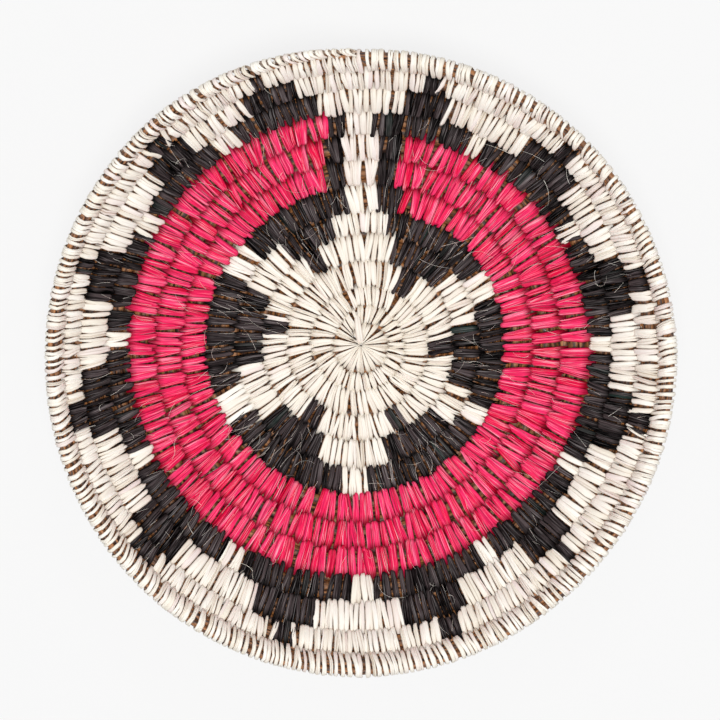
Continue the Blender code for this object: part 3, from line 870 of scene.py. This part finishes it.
def lay_fibres(name, counts, spans_of):
    """Curved hairs that start on a stitch and rise off it as they go."""
    chance = np.random.default_rng(77)
    hair = fibre_blank()
    blank_points = np.array([vertex.co for vertex in hair.vertices])
    starts = fibre_starts(counts, spans_of, chance)
    count = len(starts)
    start = starts + chance.normal(0, START_JITTER, (count, 1))
    length = chance.lognormal(math.log(FIBRE_LENGTH), LENGTH_SPREAD, (count, 1))
    length = np.clip(length, *FIBRE_LENGTHS)
    wild = (chance.random((count, 1)) < WILD).astype(int)
    heading = chance.normal(0, 1, (count, 1)) * np.array(HEADINGS)[wild]
    heading += math.pi * chance.integers(0, 2, (count, 1))
    bend = chance.normal(0, 1, (count, 1)) * np.array(BENDS)[wild]
    lift = np.abs(chance.normal(0, FIBRE_LIFT, (count, 1)))
    way = (blank_points[:, 2] + 0.5)[None]
    turned = heading + bend * way / 2
    over = chance.uniform(-FIBRE_START, FIBRE_START, (count, 1))
    over = over + length * way * np.cos(turned)
    radius = np.array([wall_radius(t) for t in start.ravel()])[:, None]
    turn = start + length * way * np.sin(turned) / (math.tau * radius)
    high = FIBRE_HEIGHT + lift * way**FIBRE_LIFT_POWER
    thickness = chance.uniform(*FIBRE_THICKNESS, (count, 1))
    sideways = blank_points[:, 0] * thickness
    turn = turn + sideways * np.cos(turned) / (math.tau * radius)
    over = over - sideways * np.sin(turned)
    mesh = bmesh.new()
    for _ in range(count):
        mesh.from_mesh(hair)
    set_places(mesh, on_coil(turn, over, high + blank_points[:, 1] * thickness))
    piece = finish_piece(name, mesh, natural_splint, "", "natural_splint")
    map_splint(piece.data, way + np.arange(count)[:, None], length * way)
    tone = np.repeat(chance.random((count, 1)), len(blank_points), 1)
    note_splint(piece.data, "tone", tone)


fibre_spans = {
    "star black": [span for spans in star_black.values() for span in spans],
    "peak black": [span for rows in (door_black, peak_black) for spans in rows.values()
                   for span in spans],
    "red": [span for row, runs in RED_ROWS.items() for span in in_turns(row, [runs])],
    "natural": [(1, LAST_TURN)],
}
lay_fibres("frayed_fibres", FIBRE_COUNTS, fibre_spans)

# Studio
# A pale sheet under the basket, soft light from above, and the camera nearly overhead. The
# sheet is mostly plain white to the camera, and lights the basket as the grey it is.
CAMERA_DISTANCE = 0.8832
CAMERA_LEAN = 7.02  # degrees, towards the doorway
CAMERA_LENS, SENSOR_WIDTH = 85.65, 36  # in millimetres, as cameras give them
CAMERA_AIM = Vector((-0.0005218, -0.0034969, 0.0011))
FLOOR_SIZE = 6
FLOOR_GREY = 0.86
FLOOR_ROUGHNESS = 0.9
BACKDROP_WHITE = 0.94
FLOOR_SHOWN_WHITE = 0.85  # how much of the floor that the camera sees is the backdrop's white
WORLD_LIGHT = 0.45
WORLD_SHOWN_MORE = 0.50  # how much lighter the camera and mirrors see it
OVERHEAD_LIGHT = ((0.02, -0.04, 1.40), 0.45, 13.4)  # place, size and watts
FAR_LIGHT = ((0.05, 0.85, 1.00), 0.35, 1.0)

floor_mesh = bmesh.new()
bmesh.ops.create_grid(floor_mesh, x_segments=1, y_segments=1, size=FLOOR_SIZE)
floor_data = bpy.data.meshes.new("pale_floor")
floor_mesh.to_mesh(floor_data)
floor_mesh.free()
floor = bpy.data.objects.new("pale_floor", floor_data)
bpy.context.scene.collection.objects.link(floor)

floor_paint, tree, shader = new_finish("floor_paint")
shader.inputs["Base Color"].default_value = (FLOOR_GREY,) * 3 + (1,)
shader.inputs["Roughness"].default_value = FLOOR_ROUGHNESS
seen = Wire(tree).node("ShaderNodeLightPath", {}, {}, "Is Camera Ray")
white = Wire(tree).node(
    "ShaderNodeEmission", {}, {"Color": (BACKDROP_WHITE,) * 3 + (1,), "Strength": 1}
)
painted = Wire(tree, shader.outputs[0])
mixed = Wire(tree).node(
    "ShaderNodeMixShader", {}, {0: seen * FLOOR_SHOWN_WHITE, 1: painted, 2: white}
)
tree.links.new(mixed.socket, tree.nodes["Material Output"].inputs["Surface"])
floor_data.materials.append(floor_paint)

world = bpy.data.worlds.new("studio")
bpy.context.scene.world = world
world.use_nodes = True
tree = world.node_tree
rays = Wire(tree).node("ShaderNodeLightPath", {}, {}, "Is Camera Ray")
shown = rays.sums(
    "MAXIMUM", rays,
    rays.sums("MAXIMUM", Wire(tree, rays.socket.node.outputs["Is Glossy Ray"]),
              Wire(tree, rays.socket.node.outputs["Is Transmission Ray"])),
)
backing = tree.nodes["Background"]
backing.inputs["Color"].default_value = (1, 1, 1, 1)
strength = WORLD_LIGHT + shown * WORLD_SHOWN_MORE
tree.links.new(strength.socket, backing.inputs["Strength"])


def soft_lamp(name, place, size, power):
    """A round soft lamp that looks at the basket's base."""
    lamp = bpy.data.lights.new(name, "AREA")
    lamp.shape = "DISK"
    lamp.size = size
    lamp.energy = power
    holder = bpy.data.objects.new(name, lamp)
    holder.location = place
    holder.rotation_euler = (-Vector(place)).to_track_quat("-Z", "Y").to_euler()
    bpy.context.scene.collection.objects.link(holder)


soft_lamp("overhead_light", *OVERHEAD_LIGHT)
soft_lamp("far_light", *FAR_LIGHT)

camera_data = bpy.data.cameras.new("camera")
camera_data.lens = CAMERA_LENS
camera_data.sensor_width = SENSOR_WIDTH
camera = bpy.data.objects.new("camera", camera_data)
lean = math.radians(CAMERA_LEAN)
camera.location = (
    AXIS_X, AXIS_Y + CAMERA_DISTANCE * math.sin(lean), CAMERA_DISTANCE * math.cos(lean)
)
back = (camera.location - CAMERA_AIM).normalized()
side = Vector((0, 1, 0)).cross(back).normalized()
camera.rotation_euler = Matrix((side, back.cross(side), back)).transposed().to_euler()
bpy.context.scene.collection.objects.link(camera)
bpy.context.scene.camera = camera
bpy.context.scene.view_settings.view_transform = "Standard"
